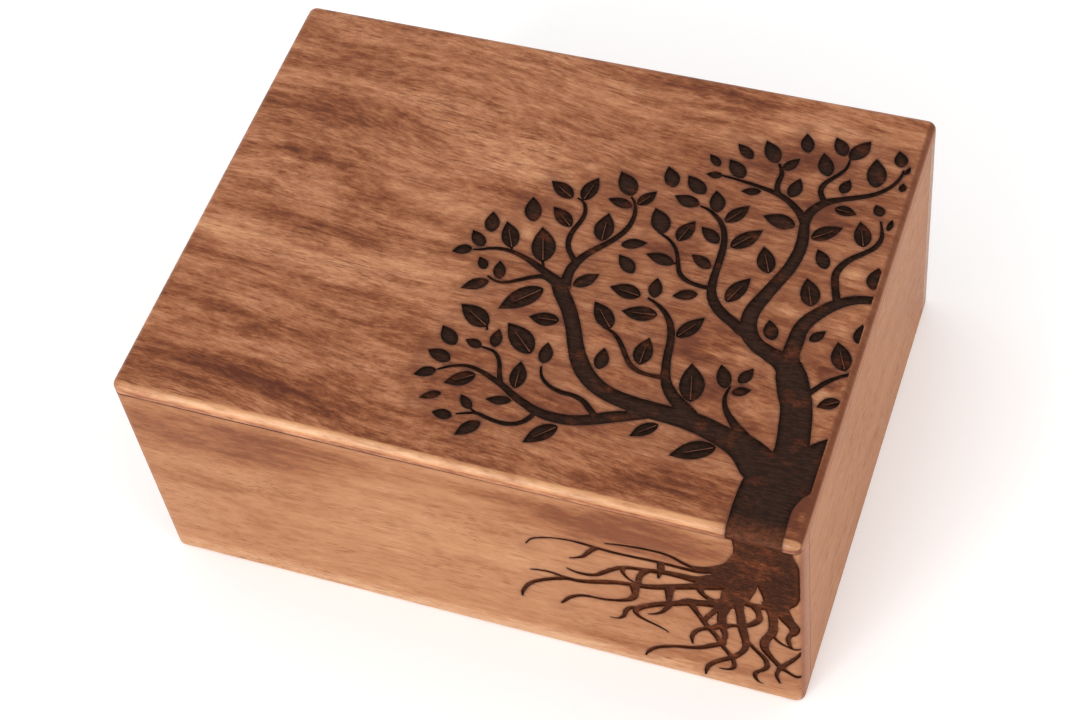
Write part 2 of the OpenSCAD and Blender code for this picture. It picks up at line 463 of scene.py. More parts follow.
# The burning tool's tip: a flat square that is swept along each stroke, as wide as the stroke
tip_line = bpy.data.curves.new("tip", "CURVE")
tip_line.dimensions = "2D"
tip_side = tip_line.splines.new("POLY")
tip_side.points.add(3)
for corner, spot in zip(tip_side.points, ((-0.5, -0.1), (0.5, -0.1), (0.5, 0.1), (-0.5, 0.1))):
    corner.co = (spot[0], spot[1], 0, 1)
tip_side.use_cyclic_u = True
tip = bpy.data.objects.new("tip", tip_line)
studio.collection.objects.link(tip)


def stroke(line, top, bottom):
    """One tapering stroke, drawn flat and made a solid between two heights: line is (x, y, width), in mm."""
    bpy.ops.object.select_all(action="DESELECT")
    bpy.ops.curve.primitive_bezier_curve_add()
    made = bpy.context.object
    path = made.data.splines[0]
    path.bezier_points.add(len(line) - 2)
    for knot, (x, y, width) in zip(path.bezier_points, line):
        knot.co = (x * MM, y * MM, 0)
        knot.radius = width * MM
        knot.handle_left_type = "AUTO"
        knot.handle_right_type = "AUTO"
    made.data.resolution_u = 5
    made.data.twist_mode = "Z_UP"
    made.data.bevel_mode = "OBJECT"
    made.data.bevel_object = tip
    made.data.use_fill_caps = True
    bpy.ops.object.convert(target="MESH")
    for spot in made.data.vertices:
        spot.co.z = (top if spot.co.z > 0 else bottom) * MM
    bpy.ops.object.mode_set(mode="EDIT")
    bpy.ops.mesh.select_all(action="SELECT")
    bpy.ops.mesh.remove_doubles(threshold=0.000001)
    bpy.ops.mesh.normals_make_consistent(inside=False)
    bpy.ops.object.mode_set(mode="OBJECT")
    return made


def gather(solids):
    """Joins many overlapping solids into one."""
    whole = solids[0]
    for other in solids[1:]:
        stay(whole, "UNION", other)
    return whole


def burn_into(board, drawing, inner, limit, wood, char):
    """Takes the drawing out of the board down to the inner form, up to the limit on the right, and
    leaves the cut faces charred. Cutting leaves a few points a hair apart, which are joined at the end."""
    low, high = Vector((limit, -200, -50)) * MM, Vector((200, 200, 200)) * MM
    stay(drawing, "DIFFERENCE", block("margin", low, high))
    stay(drawing, "DIFFERENCE", inner)
    for piece, index in ((board, 0), (drawing, 1)):
        piece.data.materials.clear()
        piece.data.materials.append(wood)
        piece.data.materials.append(char)
        piece.data.polygons.foreach_set("material_index", [index] * len(piece.data.polygons))
    stay(board, "DIFFERENCE", drawing)
    pick(board)
    bpy.ops.object.mode_set(mode="EDIT")
    bpy.ops.mesh.select_all(action="SELECT")
    bpy.ops.mesh.remove_doubles(threshold=0.000002)
    bpy.ops.object.mode_set(mode="OBJECT")


def mark_scorch(board, reach=9.0):
    """Stores how far each point of the board lies from the rim of the burn, in mm, up to a reach."""
    mesh = board.data
    touched = {0: set(), 1: set()}
    for face in mesh.polygons:
        touched[face.material_index].update(face.vertices)
    rim = touched[0] & touched[1]
    spots = []
    for edge in mesh.edges:
        a, b = edge.vertices
        if a in rim and b in rim:
            start, end = mesh.vertices[a].co / MM, mesh.vertices[b].co / MM
            count = max(1, round((end - start).length / 0.4))
            spots += [start.lerp(end, k / count) for k in range(count + 1)]
    tree = kdtree.KDTree(len(spots))
    for number, spot in enumerate(spots):
        tree.insert(spot, number)
    tree.balance()
    layer = mesh.attributes.new("rim_gap", "FLOAT", "POINT")
    layer.data.foreach_set("value", [min(reach, tree.find(v.co / MM)[2]) for v in mesh.vertices])


def opened(finish):
    """A finish opened for more work: its nodes, its surface, its colour so far and each place in mm."""
    tree = finish.node_tree
    surface = tree.nodes["Principled BSDF"]
    plain = surface.inputs["Base Color"].links[0].from_socket
    return tree, surface, plain, in_mm(tree, put(tree, "ShaderNodeTexCoord").outputs["Object"])


def scorched(wood, halo, haze):
    """Darkens a wood near the rim of the burn: a tight brown line, then a smoky haze that drifts off."""
    tree, surface, plain, place = opened(wood)
    gap = put(tree, "ShaderNodeAttribute", {}, attribute_name="rim_gap").outputs["Fac"]
    gap = figure(tree, "ADD", gap, swing(tree, cloudy(tree, place, (6, 2.5, 2.5), 3.0, 0.6), 1.6))
    smoke = stretch(tree, gap, 0.0, 4.5, haze, 0.0, smooth=True)
    drift = stretch(tree, cloudy(tree, place, (16, 9, 9), 4.0, 0.65), 0.44, 0.60, 0.0, haze * 1.25)
    drift = times(tree, drift, stretch(tree, gap, 3.0, 8.0, 1.0, 0.0, smooth=True))
    smoke = figure(tree, "MAXIMUM", smoke, drift)
    line = stretch(tree, gap, -0.2, 1.1, halo, 0.0, smooth=True)
    line = figure(tree, "ADD", line, stretch(tree, gap, -0.3, 0.4, 0.3, 0.0), clamp=True)
    hazy = blend_colour(tree, smoke, plain, tint(110, 58, 36))
    dark = blend_colour(tree, line, hazy, tint(62, 32, 22))
    tree.links.new(dark, surface.inputs["Base Color"])


def charred(name, floor, edge, red, red_share, speckled=0.12):
    """The floor and sides of the burn: matt dark brown, mottled, with redder places and fine grain lines."""
    char = bpy.data.materials.new(name)
    char.use_nodes = True
    tree = char.node_tree
    surface = tree.nodes["Principled BSDF"]
    place = put(tree, "ShaderNodeTexCoord").outputs["Object"]
    figured = put(tree, "ShaderNodeGroup", {}, node_tree=grain)
    tree.links.new(place, figured.inputs["Point"])
    figured.inputs["Plank"].default_value = 5.0
    size = in_mm(tree, place)
    gap = put(tree, "ShaderNodeAttribute", {}, attribute_name="rim_gap").outputs["Fac"]
    near = stretch(tree, gap, 0.4, 2.4, 1.0, 0.0, smooth=True)
    colour = blend_colour(tree, near, floor, edge)
    rusty = stretch(tree, cloudy(tree, size, (9, 7, 7), 3.0, 0.6), 0.66 - red_share, 0.84 - red_share)
    specks = stretch(tree, cloudy(tree, size, (1.5, 1.1, 1.1), 3.0, 0.75), 0.46, 0.62)
    speck_share = figure(tree, "ADD", times(tree, rusty, 0.45), speckled)
    specks = times(tree, specks, speck_share)
    rusty = figure(tree, "ADD", times(tree, rusty, 0.4), specks, clamp=True)
    colour = blend_colour(tree, rusty, colour, red)
    lines = stretch(tree, figured.outputs["Fibres"], 0.3, 0.7, 0.78, 1.25)
    lines = put(tree, "ShaderNodeCombineColor", {0: lines, 1: lines, 2: lines}).outputs[0]
    colour = blend_colour(tree, 1.0, colour, lines, kind="MULTIPLY")
    pitted = cloudy(tree, size, (1.2, 0.5, 0.5), 3.0, 0.7)
    skin = put(tree, "ShaderNodeBump", {"Height": pitted, "Strength": 0.5, "Distance": 0.0002})
    tree.links.new(colour, surface.inputs["Base Color"])
    tree.links.new(stretch(tree, pitted, 0.3, 0.7, 0.62, 0.8), surface.inputs["Roughness"])
    tree.links.new(skin.outputs[0], surface.inputs["Normal"])
    surface.inputs["Specular IOR Level"].default_value = 0.04
    return char


# The foot of the trunk, then each root from the trunk outwards: x from the middle, height, width
trunk_foot = (
    ((112.9, 114, 19.8), (113.1, 106, 20), (114, 101, 21.2), (114.4, 94, 23.2), (113.8, 89, 24),
     (113.4, 83.5, 24)),
    ((110, 92, 16), (106.7, 84, 12), (105.9, 77, 10.4), (104.3, 70.5, 9.8), (103, 65, 9)),
    ((117, 92, 16), (118, 84, 15), (118.5, 78, 14), (118.6, 73, 12), (118, 69, 9.8), (117.2, 64, 6)),
    ((122, 90, 8), (123, 84, 8), (123.3, 77, 6.5), (123.2, 72.5, 4.5), (122, 69, 2)),
    ((111, 95, 15), (106, 89.8, 10.5), (101, 85.5, 6), (96, 83.3, 3.4)),
    ((105.5, 65, 4), (110, 64.3, 3.6), (115, 65.5, 4)),
)
roots = (
    ((103, 86, 8), (97, 83, 4.5), (92, 81.2, 3), (88.5, 80.8, 2.2), (85.5, 81.8, 2), (82, 84, 1.7),
     (78, 85.2, 1.5), (73, 85.3, 1.4), (68, 84.8, 1.3), (62, 83.8, 1.1), (57, 82.5, 0.6)),
    ((100, 83, 5), (94, 80.5, 3), (90, 78.8, 2.6), (85, 78.5, 2.2), (79, 78.6, 2), (73, 78.4, 1.7),
     (66, 77.9, 1.6), (60, 77.7, 1.6), (54, 78, 1.6), (48, 78.6, 1.5), (43, 78.6, 1), (38, 77.6, 0.8),
     (33, 75.8, 0.8), (29, 73.2, 0.7), (26.5, 69, 0.5)),
    ((53.5, 78, 2.6), (51.5, 75.5, 2), (49.7, 72.5, 1.8), (47.5, 69.3, 1.5), (45, 67.5, 0.9),
     (42.7, 66.2, 0.5)),
    ((76.8, 79.3, 2.6), (76.8, 74.8, 3), (76, 70.5, 1.8), (75.4, 67.2, 0.7)),
    ((102, 79, 9), (96, 75.5, 7), (90, 72.7, 5), (84, 72.7, 3.9), (78, 72.4, 3.3), (72, 71, 2.8),
     (67, 70.1, 2.2), (62.5, 68.7, 2.2), (59, 66, 2), (55.5, 62.5, 2.1), (52.5, 59.3, 2),
     (49.5, 57.6, 1.8), (46, 57.1, 1.6), (43, 57.6, 1.2), (41, 58.6, 0.6)),
    ((62.7, 68.5, 2.4), (62.2, 66, 1.7), (63.2, 63, 1.4), (64.8, 61, 1.1), (66.5, 60, 0.7)),
    ((71, 70.5, 3.5), (69.2, 67, 2.3), (68, 63, 2.3), (67.8, 59, 2.6)),
    ((101, 75, 7), (95, 71, 5), (90, 68.5, 4), (85, 65.9, 3.8), (80, 63.4, 3.6), (75, 60.9, 3.4),
     (70, 59, 3.2), (65, 58, 2.6), (60, 57, 2.7), (55, 55.2, 2.9), (50, 53, 2.8), (45, 51.3, 2.3),
     (40, 50.7, 2.1), (36, 48.8, 2.1), (32, 46.4, 1.9), (28, 43.4, 1.8), (25, 40.2, 1.7),
     (22.8, 36.2, 1.5), (21.5, 32.7, 1.3), (21, 29.5, 0.5)),
    ((44, 51.2, 2), (38.5, 51.6, 1.5), (34, 52.5, 1.3), (30, 52.1, 1.1), (26.3, 51, 0.6)),
    ((66, 58.5, 4.5), (66, 54.5, 3.2), (65.8, 51, 2.6), (64.2, 47.7, 2.5), (61, 45, 2), (57, 43.2, 1.6),
     (52, 42, 1.4), (47, 41.5, 1.5), (43, 39.8, 1.7), (40, 37, 1.7), (38, 34, 1.4), (36.3, 31.2, 0.6)),
    ((79.3, 63.5, 4.5), (78.8, 58, 3), (78.6, 54, 2.4), (78.5, 50, 2.2), (77, 46.5, 1.9), (75, 43, 1.5),
     (72.5, 40.7, 1.1), (70, 39.3, 0.5)),
    ((101, 62, 7), (95, 58.5, 5), (90, 57, 4.2), (86.5, 55.8, 5), (82, 52.8, 3.4), (77, 50, 3.2),
     (72.5, 47.2, 3), (69, 44.4, 2.8), (66.5, 41.7, 2.6), (65.2, 39, 2.3), (66.2, 36.3, 1.9),
     (69, 34.3, 1.5), (73, 32.4, 1.3), (76.3, 30.3, 0.8), (77, 29.3, 0.5)),
    ((86.2, 54, 3), (86.9, 58, 3.2)),
    ((66, 42, 2.5), (63, 40.3, 2), (61.5, 37.5, 1.9), (60.7, 34.5, 1.6), (59.5, 32, 1.3),
     (57.8, 30.4, 0.9), (55, 30, 0.5)),
    ((90.5, 69, 4), (90.8, 65, 2.6), (92.8, 62, 2.6), (95.5, 60.5, 3.5)),
    ((86.5, 55, 3.6), (88, 51, 2.6), (89.5, 47.5, 2.4), (91, 44, 2.6), (92.3, 41, 2.8), (94, 38, 2.6),
     (95.5, 35, 2.4), (96.5, 32, 2.6), (97.5, 29, 2.2), (99, 26, 2), (100.2, 23.5, 2.4), (101, 20, 2),
     (101.3, 17, 1.8), (100.5, 14, 1.6), (98.5, 12.3, 1.2), (95.5, 11.7, 0.6)),
    ((98.5, 60, 4), (96, 55, 2.6), (94.2, 51.5, 2.2), (92.3, 47.8, 2.2), (91.3, 44.5, 2.2),
     (91.8, 42, 2)),
    ((102.5, 69, 8), (99, 58, 4.6), (97.8, 51, 3.4), (97.8, 46, 4), (98, 42, 3), (98.6, 38, 2.2),
     (98, 34.5, 2.2), (97, 31, 3), (94.5, 28.8, 2.8), (91.5, 26, 2.6), (88, 23.5, 2.4), (84, 21.7, 2.2),
     (80, 20.4, 2), (76, 18.4, 2), (73, 16.4, 1.9), (70.3, 13.8, 1.8), (68.5, 11, 1.4), (67, 7.3, 0.5)),
    ((97.5, 44.5, 4), (95, 41.8, 3), (91.5, 39.3, 2.2), (88.8, 37, 2), (86.8, 33.5, 1.9), (85.9, 30, 1.6),
     (86, 25.5, 0.6)),
    ((98, 43.5, 3), (100.5, 46, 2.4), (104, 47.3, 2.2), (107, 49, 2.4), (110, 52.5, 2.6),
     (111.5, 56, 2.4), (111.3, 60, 2.6), (110, 64, 4)),
    ((104, 69, 6), (104.3, 60, 3.6), (104.8, 54, 3.4), (105, 48, 3.6), (105.5, 43, 3.6), (106, 38, 3),
     (106, 33, 2.6), (105, 29.5, 2.4), (103.3, 26.3, 2.4), (101.3, 23.2, 2.8), (98.5, 20.2, 2.6),
     (95.5, 17.3, 2.4), (93, 14.2, 2.2), (91.3, 11, 1.9), (90.4, 7.5, 1.4), (90, 4.2, 0.6)),
    ((106.5, 38, 2), (108.5, 34.5, 2), (110.5, 31.5, 2.2), (112.5, 28.5, 2.4), (113.6, 25, 2.2),
     (113.6, 22, 2.1), (112.2, 19, 2), (110.2, 16.7, 1.8), (109, 14, 1.8), (109.3, 11, 1.5),
     (110.3, 9, 1), (111.8, 8.3, 0.5)),
    ((116, 69, 7), (116.5, 60, 3.8), (116.5, 54, 3.4), (116.2, 49, 3.4), (115, 45.5, 3.4),
     (113.6, 42, 3.4), (112.9, 38, 3.4), (113.4, 34, 3.4), (115, 30.5, 2.8), (117, 27, 2.6), (119, 24, 3),
     (121.5, 21.7, 1.8), (124, 20, 1.6), (127, 18.5, 1.5)),
    ((119, 24.5, 2.6), (117.8, 21, 1.7), (117.2, 17.5, 1.5), (117.6, 14.5, 1.3), (118.4, 11.5, 0.6)),
    ((119, 24, 2.4), (120.5, 27, 2), (122.3, 30, 1.9), (124, 33, 1.8), (126.5, 37, 1.8)),
    ((116, 47, 2), (117.5, 44, 1.5), (119.5, 41.8, 1.3), (122, 40.6, 1.1), (127, 39.2, 1)),
    ((119, 67, 7), (121.5, 60, 5.5), (123.8, 55, 4), (124, 52, 3.4), (122.4, 49.2, 2), (121.8, 46, 1.8),
     (122.2, 43, 1.7), (122.8, 40.5, 1.4)),
)

front_low, front_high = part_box("front_board")
# The blank stands a hair proud, and its finely meshed front face is cut to size
front = wall_blank("front", front_low - Vector((0, PROUD * MM, 0)), front_high, -1)
score_across(front, 2, *FRONT_SCORES)
stay(front, "INTERSECT",
     finely_faced("front_face", (-140, FRONT_FACE, -10), (140, -70, 120), FRONT_MESH, "Y"))

# The floor of the burn: the same form, set in by the depth of the burn
inner_front = block("inner_front", Vector((-130, FRONT_FACE + BURN - PROUD, -20)) * MM,
                    Vector((RIGHT_END - BURN, -70, 130)) * MM)
ease_edges(inner_front, CORNER - BURN, 7, lambda mid, run: mid.y < -90 and mid.x > 120 and abs(run.z) > 0.9)
score_across(inner_front, 2, *FRONT_SCORES)
stay(inner_front, "INTERSECT",
     finely_faced("inner_face", (-140, FRONT_FACE + BURN, -10), (140, -75, 125), FRONT_MESH, "Y"))

root_drawing = gather([stroke(line, 100, 84) for line in trunk_foot + roots])
for spot in root_drawing.data.vertices:
    spot.co = (spot.co.x, -spot.co.z, spot.co.y)

# Darker and paler clouds on the front: middle, reach and strength. The long paler band along the foot is
# painted light
front_clouds = (
    (-95, 90, 80, 18, -0.28), (-20, 97, 90, 4, -0.12), (-100, 56, 36, 7, -0.18), (-62, 42, 30, 6, -0.10),
    (70, 93, 66, 14, -0.42), (0, 2, 190, 10, 0.37), (-10, 45, 70, 24, 0.10), (82, 15, 50, 6, -0.18),
    (75, 42, 30, 10, -0.12),
)
front_patches = [((x, FRONT_FACE, z), (reach_x, 60, reach_z), strength)
                 for x, z, reach_x, reach_z, strength in front_clouds]
front_finish = rosewood("front_wood", front_tones, 4.0, contrast=(0.5, 0.8, 0.9), coat=0.06,
                        skin_light=0.09, patches=front_patches)


def end_grain(tree, size):
    """The pale, pinkish tone of the boards' own right-hand ends."""
    cloud = cloudy(tree, size, (3, 6, 1.5), 4.0, 0.7)
    return blend_colour(tree, cloud, tint(146, 88, 56), tint(172, 116, 82))


# The board's own end, past the rounded corner, is as pale and pinkish as the end boards
side_tree, side_surface, side_plain, side_mm = opened(front_finish)
side_spot = put(side_tree, "ShaderNodeSeparateXYZ", {0: side_mm}).outputs
side_share = stretch(side_tree, side_spot["X"], 125.4, 126.6, 0.0, 0.85, smooth=True)
side_round = stretch(side_tree, side_spot["Y"], -94.5, -89.0, 0.7, 0.0, smooth=True)
side_tone = blend_colour(side_tree, side_round, end_grain(side_tree, side_mm), tint(132, 74, 50))
side_colour = blend_colour(side_tree, side_share, side_plain, side_tone)
side_tree.links.new(side_colour, side_surface.inputs["Base Color"])
side_coat = stretch(side_tree, side_spot["X"], 124.0, 126.0, 0.06, 0.0)
side_tree.links.new(side_coat, side_surface.inputs["Coat Weight"])

front_char = charred("front_burn", tint(48, 24, 13), tint(66, 33, 18), tint(101, 52, 29), 0.16, speckled=0.26)
burn_into(front, root_drawing, inner_front, ROOTS_END, front_finish, front_char)
mark_scorch(front)
scorched(front_finish, halo=0.5, haze=0.18)
finish_piece(front, "front_board")


# ---------------------------------------------------------------- lid
# One rosewood board, flush with the walls, with a raised panel below that drops inside them.
# The tree is burned into its top and runs over the rounded front edge to meet the roots.

TOP_ROUND = 3.0
LID_TOP = 110.0
BACK_FACE = 96.0
PANEL_GAP = 10.8
TREE_END = 124.3
LID_MESH = 1.1
LID_SCORES = (94.0, 123.0, 1.0)

# The trunk, the limbs and the twigs, each from where it springs: x, y, width

trunk = (
    ((110.8, -100, 19.4), (110.5, -92, 19.6), (110.3, -84, 19.6), (111, -76, 20), (113.2, -68, 14.6),
     (113.6, -60, 11.5), (112.2, -50, 11.3), (110.5, -42, 11), (108, -36, 11.5), (105.5, -30, 11),
     (103.5, -25, 8)),
    ((112, -86, 13), (117, -74.5, 11.4), (124, -63.6, 17.7), (134, -57, 19.5)),
)
limbs = (
    ((112, -75, 14), (104, -67.5, 14), (97, -62.5, 11), (90, -60.3, 8.5), (80, -57.5, 8),
     (70, -56.5, 7.2), (60, -56, 7), (52, -54.8, 6.2), (45, -53, 6), (38, -48.9, 6.4), (33, -43.5, 6.5),
     (29.5, -37.5, 5.8), (26, -30, 5.6), (21.8, -22.5, 5.6), (16.5, -15.5, 5.8), (13, -10.5, 4.5)),
    ((109.5, -38, 10), (105.6, -30.2, 9.8), (101, -25.2, 7.8), (95, -22.6, 6.3), (90, -20, 5.8),
     (86.3, -15.8, 6.2), (84.8, -10, 6), (85.3, -5, 5.8), (87, 0, 5.3), (88.8, 5, 5), (90.7, 10, 4.9),
     (92.4, 15, 4.8), (93.4, 20, 4.8), (93.8, 25, 4.6), (93.4, 30, 4.3), (92.5, 35, 3.8),
     (92.2, 39.5, 3.4)),
    ((105, -30, 10), (103, -22, 6.2), (103, -15, 6), (103.3, -10, 5.6), (105, -5.5, 5.4), (108, -1.2, 5),
     (111, 2.2, 4.6), (114.5, 5, 4.2), (119, 7.3, 3.7), (127, 9, 3.5)),
    ((80, -56, 2.6), (76.5, -54.2, 4.8), (72.5, -51.8, 5.2), (67.5, -47.7, 4.5), (64.5, -43.5, 3.8),
     (62.7, -38, 3.2), (61.6, -32, 3), (60.8, -26, 2.8), (59.3, -21, 2.6), (57, -17, 2.2),
     (53.8, -13.8, 1.7), (50.5, -11.7, 1.2), (47.5, -10.4, 0.7)),
    ((66, -57, 3), (58, -59.8, 4.2), (50, -62.8, 4.8), (45, -65, 4.5), (40, -66.8, 4.2), (34, -67.8, 4.2),
     (28, -67.6, 3.9), (24, -66.7, 3.5), (20, -65.1, 3.1), (15, -62.8, 2.8), (10, -59.9, 2.4),
     (5, -57.7, 2.1), (0, -55.9, 1.7), (-5, -55.1, 1.4), (-10, -56.4, 1.1), (-13, -58, 1),
     (-15, -59.3, 0.6)),
    ((86.5, -18, 2.6), (83.5, -15.8, 4.4), (80, -13.4, 4.2), (75, -10.4, 4.2), (71, -6.6, 4),
     (68.7, -2.5, 3.5), (67.8, 2, 3.1), (67.5, 8, 2.8), (67.3, 14, 2.8), (66.8, 19.5, 2.5),
     (65.5, 24.5, 2.2), (63.3, 28.5, 2), (60.5, 31.3, 1.7), (57, 33.6, 1.3), (53.5, 34.6, 0.7)),
    ((98, -59.5, 4.5), (95.5, -57.5, 4.2), (91.5, -53.8, 3), (88, -49.8, 2.1), (86.1, -45.5, 1.5),
     (86, -42.5, 1.1), (86.5, -39.5, 0.7)),
    ((112, -37, 2.5), (115, -33, 2), (117.5, -29.8, 1.9), (120.5, -27, 1.5), (126, -23.4, 1.2)),
)
twigs = (
    ((14.5, -12, 4.5), (9.5, -9.3, 3.2), (5, -7, 2.8), (0, -4.7, 2.2), (-5, -3.1, 1.8), (-10, -2.5, 1.6),
     (-15, -3.4, 1.3), (-18.5, -4.9, 1), (-21, -5.4, 0.6)),
    ((12.5, -12.3, 2.4), (8, -10.8, 2), (5, -11.8, 1.8), (0, -14.5, 1.6), (-4, -16.6, 1.3),
     (-8, -17, 1.1), (-11.5, -15.6, 0.6)),
    ((17.3, -14, 4.5), (16.6, -8, 3.8), (17, -4, 3.8), (18.5, 0, 3.2), (21, 4, 2.8), (24.5, 8, 2.5),
     (28, 12.5, 2.4), (30.5, 17, 2.2), (31.5, 22, 1.8), (31.2, 26, 1.5), (29.8, 30, 1.2),
     (27.7, 32.5, 0.7)),
    ((17.8, -2, 2.4), (15, 1, 2), (12.8, 4, 2), (11.7, 8, 2.1), (11.9, 12, 2.1), (13, 16, 1.9),
     (13.6, 19.5, 1.7), (13, 23, 1.4), (11.2, 25.8, 1.1), (8.6, 27.1, 0.6)),
    ((9, -59.5, 2.2), (7, -55, 1.7), (5.8, -51.5, 1.5), (4, -48.5, 1.4), (2, -46.8, 1.1),
     (-0.5, -46.2, 0.9), (-3, -45.9, 0.6)),
    ((46, -64.5, 2.4), (42, -61, 2.2), (39, -58.7, 2), (35, -57.4, 1.8), (30, -57, 1.7), (26, -55.8, 1.4),
     (23, -53.8, 1.2), (21.3, -51.5, 1), (20.3, -48.5, 0.6)),
    ((24.8, -66.7, 2.2), (23.5, -70, 1.9), (21.5, -72.5, 1.8), (18, -74.3, 1.7), (14, -74.7, 1.6),
     (9, -74, 1.5), (5, -73.2, 1.4), (2, -73.9, 1), (-2, -75.3, 0.6)),
    ((5, -73.2, 1.2), (3.4, -72.5, 0.9), (2.2, -71.8, 0.7)),
    ((64, -42, 2), (57, -42.3, 1.6), (53, -41.4, 1.8), (50, -39.5, 1.9), (47.5, -36.5, 1.9),
     (45, -33, 1.8), (42.3, -29.8, 1.6), (39.5, -27.8, 1.3), (36, -26.6, 0.8)),
    ((92.5, 35.5, 3.2), (89.5, 40, 3), (86, 43.2, 2.7), (82, 45.8, 2.4), (77, 47.5, 2), (71, 48.8, 1.6),
     (65, 49.7, 1.3), (59, 50.3, 1), (57, 50.5, 0.7)),
    ((80, 46.2, 2.4), (78.3, 49.5, 2.1), (78, 53, 2.1), (78.2, 56, 1.9), (77.3, 58.8, 1.5),
     (75.8, 61, 0.8)),
    ((92.2, 36, 3.8), (92.8, 41, 3.8), (94.6, 44.5, 3.6), (97.5, 47.5, 3.2), (102, 50, 2.4),
     (107, 52.2, 2.2), (112, 54.6, 2), (116, 57.8, 1.7), (119, 61.8, 1.5), (120.5, 66, 1.2),
     (120.8, 69, 0.8)),
    ((120.6, 67, 1), (122.6, 68, 0.7)),
    ((97.3, 46.6, 2.4), (95.5, 49, 2.2), (94, 52, 2.1), (94.2, 55, 2.1), (96, 58.2, 1.8),
     (98.5, 61.5, 1.6), (100.3, 65, 1.2), (100.6, 69.3, 0.7)),
    ((68.5, -0.8, 1.8), (62, -0.4, 1.8), (58, 0.8, 1.8), (55.3, 3, 1.8), (53.8, 6, 1.6), (52.3, 10, 1.5),
     (50, 14, 1.3), (47, 16.8, 1.2), (43.5, 18.6, 1), (41, 20, 0.6)),
    ((54, 7.2, 1.2), (51, 6.7, 0.8)),
    ((113, 3.5, 3), (110.7, 9.5, 2.8), (109.2, 14.5, 2.8), (109, 17.5, 2.8), (110.2, 21, 2.6),
     (112.8, 24.9, 2.3), (116.3, 28.2, 2.1), (119.3, 31.8, 2), (120.5, 35.8, 1.8), (119.9, 39.5, 1.2),
     (118.4, 43.7, 0.6)),
    ((-7.4, -0.8, 0.9), (-6.9, -2.8, 0.9)),
    ((5.6, -4.2, 1), (7, -7, 1)),
    ((-4.2, -36.8, 0.9), (-3.5, -38.5, 0.7)),
)
